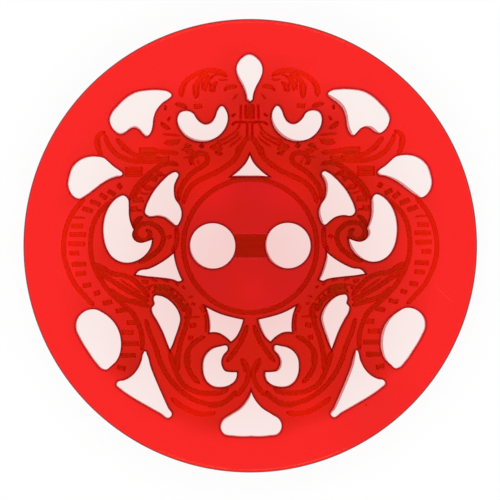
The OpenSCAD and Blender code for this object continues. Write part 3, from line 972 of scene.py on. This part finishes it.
def bump(tree, shader, height, deep):
    node = addNode(tree, "ShaderNodeBump", {"Height": height, "Strength": 1.0, "Distance": deep * mm})
    tree.links.new(node.outputs["Normal"], shader.inputs["Normal"])


def setRed(tree, shader, colour):
    tree.links.new(colour, shader.inputs["Base Color"])


# painted shade: darker towards the middle and towards the base, with a wandering border, crimson within the
# ring, and toned by place with painted light and shade
def shadedBodyRed(tree):
    away = distanceMm(tree, (0, 0, 0))
    reach = acrylic["cloudReach"]
    cloud = noise(tree, placeMm(tree), acrylic["cloudScale"], acrylic["coarseDetail"])
    wander = ranged(tree, cloud, acrylic["cloudFrom"], acrylic["cloudTo"], -reach, reach)
    moved = arithmetic(tree, "ADD", away, wander)
    share = ranged(tree, moved, acrylic["paleFrom"], acrylic["paleTo"], way="LINEAR")
    share = arithmetic(tree, "POWER", share, acrylic["paleCurve"])
    up = addNode(tree, "ShaderNodeSeparateXYZ", {0: placeMm(tree)}).outputs["Y"]
    low = ranged(tree, up, acrylic["lowFrom"], acrylic["lowTo"], 0, acrylic["lowShare"])
    fade = ranged(tree, away, acrylic["lowFadeFrom"], acrylic["lowFadeTo"], 1, 0)
    kept = arithmetic(tree, "SUBTRACT", 1.0, arithmetic(tree, "MULTIPLY", low, fade))
    haze = noise(tree, placeMm(tree), acrylic["hazeScale"], acrylic["coarseDetail"])
    haze = ranged(tree, haze, acrylic["hazeFrom"], acrylic["hazeTo"], acrylic["hazeLeast"], 1.0)
    inner = ranged(tree, away, acrylic["crimsonTo"], acrylic["crimsonNone"], 1, 0)
    middle = mixed(tree, arithmetic(tree, "MULTIPLY", haze, inner), acrylic["shadedMidRed"], acrylic["crimson"])
    red = mixed(tree, arithmetic(tree, "MULTIPLY", share, kept), middle, acrylic["rimRed"])
    for x, y, reach, left, right in lightAndShadeTones.values():
        for side, tone in ((-x, left), (x, right)):
            gap = distanceMm(tree, (side, y, 0))
            red = dimmed(tree, red, ranged(tree, gap, 0, reach, tone, 1))
    return red


# how much the painted shade at a cut's edge eases, paler towards the rim and at the sewing holes
def edgeEase(tree):
    away = distanceMm(tree, (0, 0, 0))
    outer = ranged(tree, away, acrylic["easeFrom"], acrylic["easeTo"])
    short = ranged(tree, away, acrylic["easeFadeFrom"], acrylic["easeFadeTo"], 1, 0)
    inner = ranged(tree, away, acrylic["holesTo"], acrylic["holesEnd"], acrylic["holesEase"], 0)
    return arithmetic(tree, "MAXIMUM", arithmetic(tree, "MULTIPLY", outer, short), inner)


# polished, with faint smudges, and darker along the cuts with painted shade
def faceFinish():
    material, tree, shader = newFinish("redAcrylicFace", acrylic["polish"], acrylic["shine"])
    near = addNode(tree, "ShaderNodeAttribute", attribute_name="edgeShade").outputs["Fac"]
    near = arithmetic(tree, "POWER", near, acrylic["edgeCurve"])
    dark = ranged(tree, edgeEase(tree), 0, 1, *acrylic["edgeDark"], "LINEAR")
    left = arithmetic(tree, "SUBTRACT", 1.0, arithmetic(tree, "MULTIPLY", near, dark))
    setRed(tree, shader, dimmed(tree, shadedBodyRed(tree), left))
    smudge = noise(tree, placeMm(tree), acrylic["smudgeScale"], acrylic["fineDetail"])
    least, most = acrylic["polish"], acrylic["polish"] + acrylic["smudge"]
    rough = ranged(tree, smudge, acrylic["smudgeFrom"], acrylic["smudgeTo"], least, most)
    tree.links.new(rough, shader.inputs["Roughness"])
    return material


# the walls of the openings, with painted shade at the foot where they are seen from outside
def cutFinish():
    material, tree, shader = newFinish("redAcrylicCut", cutEdges["wallRough"], acrylic["shine"])
    height = addNode(tree, "ShaderNodeSeparateXYZ", {0: placeMm(tree)}).outputs["Z"]
    inside = addNode(tree, "ShaderNodeNewGeometry").outputs["Backfacing"]
    share = arithmetic(tree, "MAXIMUM", ranged(tree, height, 0, cutEdges["footTop"]), inside)
    setRed(tree, shader, mixed(tree, share, cutEdges["footShadeRed"], cutEdges["wallRed"]))
    grain = noise(tree, placeMm(tree, cutEdges["streak"]), cutEdges["grainScale"], cutEdges["grainDetail"])
    bump(tree, shader, grain, cutEdges["grainDeep"])
    return material


# the broken edges, dark with painted shade, and grainy
def edgeFinish():
    material, tree, shader = newFinish("redAcrylicEdge", cutEdges["edgeRough"], cutEdges["edgeShine"])
    grain = noise(tree, placeMm(tree), cutEdges["grainScale"], cutEdges["grainDetail"])
    share = ranged(tree, grain, cutEdges["grainFrom"], cutEdges["grainTo"], *cutEdges["edgeShare"])
    ease = ranged(tree, edgeEase(tree), 0, 1, 1, cutEdges["edgeEase"], "LINEAR")
    setRed(tree, shader, dimmed(tree, shadedBodyRed(tree), arithmetic(tree, "MULTIPLY", share, ease)))
    return material


# the engraved lines, in painted shade as dark as the mesh says
def engravedFinish():
    material, tree, shader = newFinish("redAcrylicEngraved", engraving["rough"], engraving["shine"])
    grain = noise(tree, placeMm(tree), engraving["grainScale"], acrylic["fineDetail"])
    dark = addNode(tree, "ShaderNodeAttribute", attribute_name="lineShade").outputs["Fac"]
    grained = ranged(tree, grain, cutEdges["grainFrom"], cutEdges["grainTo"], *engraving["grainReach"])
    left = arithmetic(tree, "SUBTRACT", 1.0, arithmetic(tree, "MULTIPLY", dark, grained))
    red = {0: shadedBodyRed(tree), 1: engraving["tint"]}
    warm = addNode(tree, "ShaderNodeVectorMath", red, operation="MULTIPLY").outputs[0]
    setRed(tree, shader, dimmed(tree, warm, arithmetic(tree, "POWER", left, engraving["surfaces"])))
    bump(tree, shader, grain, engraving["grainDeep"])
    return material


# the floor of the thread groove, dark with painted shade and painted light towards the crest, with the
# tool's faint marks along it
def grooveFinish():
    material, tree, shader = newFinish("redAcrylicGroove", engraving["grooveRough"], engraving["shine"])
    where = placeMm(tree, engraving["grooveStreak"])
    marks = noise(tree, where, engraving["grooveScale"], cutEdges["grainDetail"])
    share = ranged(tree, marks, cutEdges["grainFrom"], cutEdges["grainTo"])
    red = mixed(tree, share, engraving["grooveShadeRed"], engraving["grooveShadePale"])
    across = addNode(tree, "ShaderNodeSeparateXYZ", {0: placeMm(tree)}).outputs["Y"]
    lit = ranged(tree, across, engraving["litFrom"], engraving["litTo"])
    setRed(tree, shader, mixed(tree, lit, red, engraving["grooveLit"]))
    return material


# scratches, paler than the face
def wornFinish():
    material, tree, shader = newFinish("redAcrylicWorn", engraving["wornRough"], acrylic["shine"])
    shader.inputs["Base Color"].default_value = (*engraving["wornRed"], 1)
    return material


button = bpy.data.objects.new("button_carved", buttonMesh())
bpy.context.scene.collection.objects.link(button)
for finish in (faceFinish, cutFinish, edgeFinish, engravedFinish, grooveFinish, wornFinish):
    button.data.materials.append(finish())
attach(button, "root")
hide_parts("button")
print("finishes laid on:", [m.name for m in button.data.materials])

# lengths in metres, but those of the glow in mm
studio = {
    "floorWide": 1.2,
    "floorWhite": 0.95,
    "floorRough": 0.9,
    "floorDrop": 0.01,           # mm below the back of the button
    "plainWhite": (1, 1, 1),
    "plainShare": 0.92,          # share of plain white that the eye sees in the floor
    "glowMiddle": (0.955, 0.66, 0.64),  # red light that the button throws on the floor under it
    "glowRim": (1.0, 0.91, 0.89),
    "glowCentre": (0, -2, 0),
    "glowMiddleTo": 3,           # mm from that centre where the glow starts to weaken
    "glowRimFrom": 15,
    "glowFull": 0.38,            # share of open sky over the floor where the glow is full
    "glowNone": 0.5,             # and where it ends
    "glowSamples": 16,
    "sky": 0.9,
    "lampWide": 0.3,
    "lampDeep": 0.12,
    "lampSpots": ((0, -0.36, 0.36), (0, 0.3, 0.42)),
    "lampWatts": (0.5, 0.3),
}


# plain white to the eye, with the button's red glow on it
def whiteFloor():
    half = studio["floorWide"] / 2
    mesh = bpy.data.meshes.new("floor")
    corners = [(-half, -half, 0), (half, -half, 0), (half, half, 0), (-half, half, 0)]
    mesh.from_pydata(corners, [], [(0, 1, 2, 3)])
    floor = bpy.data.objects.new("floor", mesh)
    floor.location.z = -studio["floorDrop"] * mm
    bpy.context.scene.collection.objects.link(floor)
    material = bpy.data.materials.new("whiteFloor")
    material.use_nodes = True
    tree = material.node_tree
    shader = tree.nodes["Principled BSDF"]
    shader.inputs["Base Color"].default_value = (*[studio["floorWhite"]] * 3, 1)
    shader.inputs["Roughness"].default_value = studio["floorRough"]
    shader.inputs["Specular IOR Level"].default_value = 0.0
    ray = addNode(tree, "ShaderNodeLightPath").outputs
    seen = ray["Is Camera Ray"]
    for name in ("Is Glossy Ray", "Is Transmission Ray"):
        seen = arithmetic(tree, "MAXIMUM", seen, ray[name])
    away = distanceMm(tree, studio["glowCentre"])
    away = ranged(tree, away, studio["glowMiddleTo"], studio["glowRimFrom"], way="LINEAR")
    glow = mixed(tree, away, studio["glowMiddle"], studio["glowRim"])
    openSky = addNode(tree, "ShaderNodeAmbientOcclusion", samples=studio["glowSamples"]).outputs["AO"]
    clear = ranged(tree, openSky, studio["glowFull"], studio["glowNone"])
    white = mixed(tree, clear, glow, studio["plainWhite"])
    white = addNode(tree, "ShaderNodeEmission", {"Color": white}).outputs[0]
    share = arithmetic(tree, "MULTIPLY", seen, studio["plainShare"])
    mix = addNode(tree, "ShaderNodeMixShader", {0: share, 1: shader.outputs[0], 2: white})
    tree.links.new(mix.outputs[0], tree.nodes["Material Output"].inputs["Surface"])
    mesh.materials.append(material)


def softSky():
    world = bpy.data.worlds.new("softSky")
    bpy.context.scene.world = world
    world.use_nodes = True
    background = world.node_tree.nodes["Background"].inputs
    background["Color"].default_value = (*studio["plainWhite"], 1)
    background["Strength"].default_value = studio["sky"]


# two wide lamps, before and behind the button
def softLamps():
    for spot, watts in zip(studio["lampSpots"], studio["lampWatts"]):
        data = bpy.data.lights.new("softLamp", "AREA")
        data.shape = "RECTANGLE"
        data.size, data.size_y = studio["lampWide"], studio["lampDeep"]
        data.energy = watts
        lamp = bpy.data.objects.new("softLamp", data)
        lamp.location = spot
        lamp.rotation_euler = Vector(spot).to_track_quat("Z", "Y").to_euler()
        bpy.context.scene.collection.objects.link(lamp)


# seen from straight above and far off, in mm, with the pixels of the drawing
viewpoint = {
    "high": 600,
    "axisPx": 250.25,
    "middlePx": 245.75,
    "picturePx": 500,
    "turn": -0.27,           # degrees, the button lies a little turned in the picture
    "sensor": 36,
    "nearest": 10,           # nothing closer to the camera is drawn
}


def lookDown():
    data = bpy.data.cameras.new("camera")
    camera = bpy.data.objects.new("camera", data)
    centrePx = viewpoint["picturePx"] / 2
    aside = (centrePx - viewpoint["axisPx"]) * mmPerPx
    along = (viewpoint["middlePx"] - centrePx) * mmPerPx
    camera.location = Vector((aside, along, viewpoint["high"])) * mm
    camera.rotation_euler.z = math.radians(viewpoint["turn"])
    data.sensor_width = viewpoint["sensor"]
    data.lens = data.sensor_width * (viewpoint["high"] - faceHeight) / (viewpoint["picturePx"] * mmPerPx)
    data.clip_start = viewpoint["nearest"] * mm
    bpy.context.scene.collection.objects.link(camera)
    bpy.context.scene.camera = camera


whiteFloor()
softSky()
softLamps()
lookDown()
bpy.context.scene.view_settings.view_transform = "Standard"
print("floor, light and camera set")
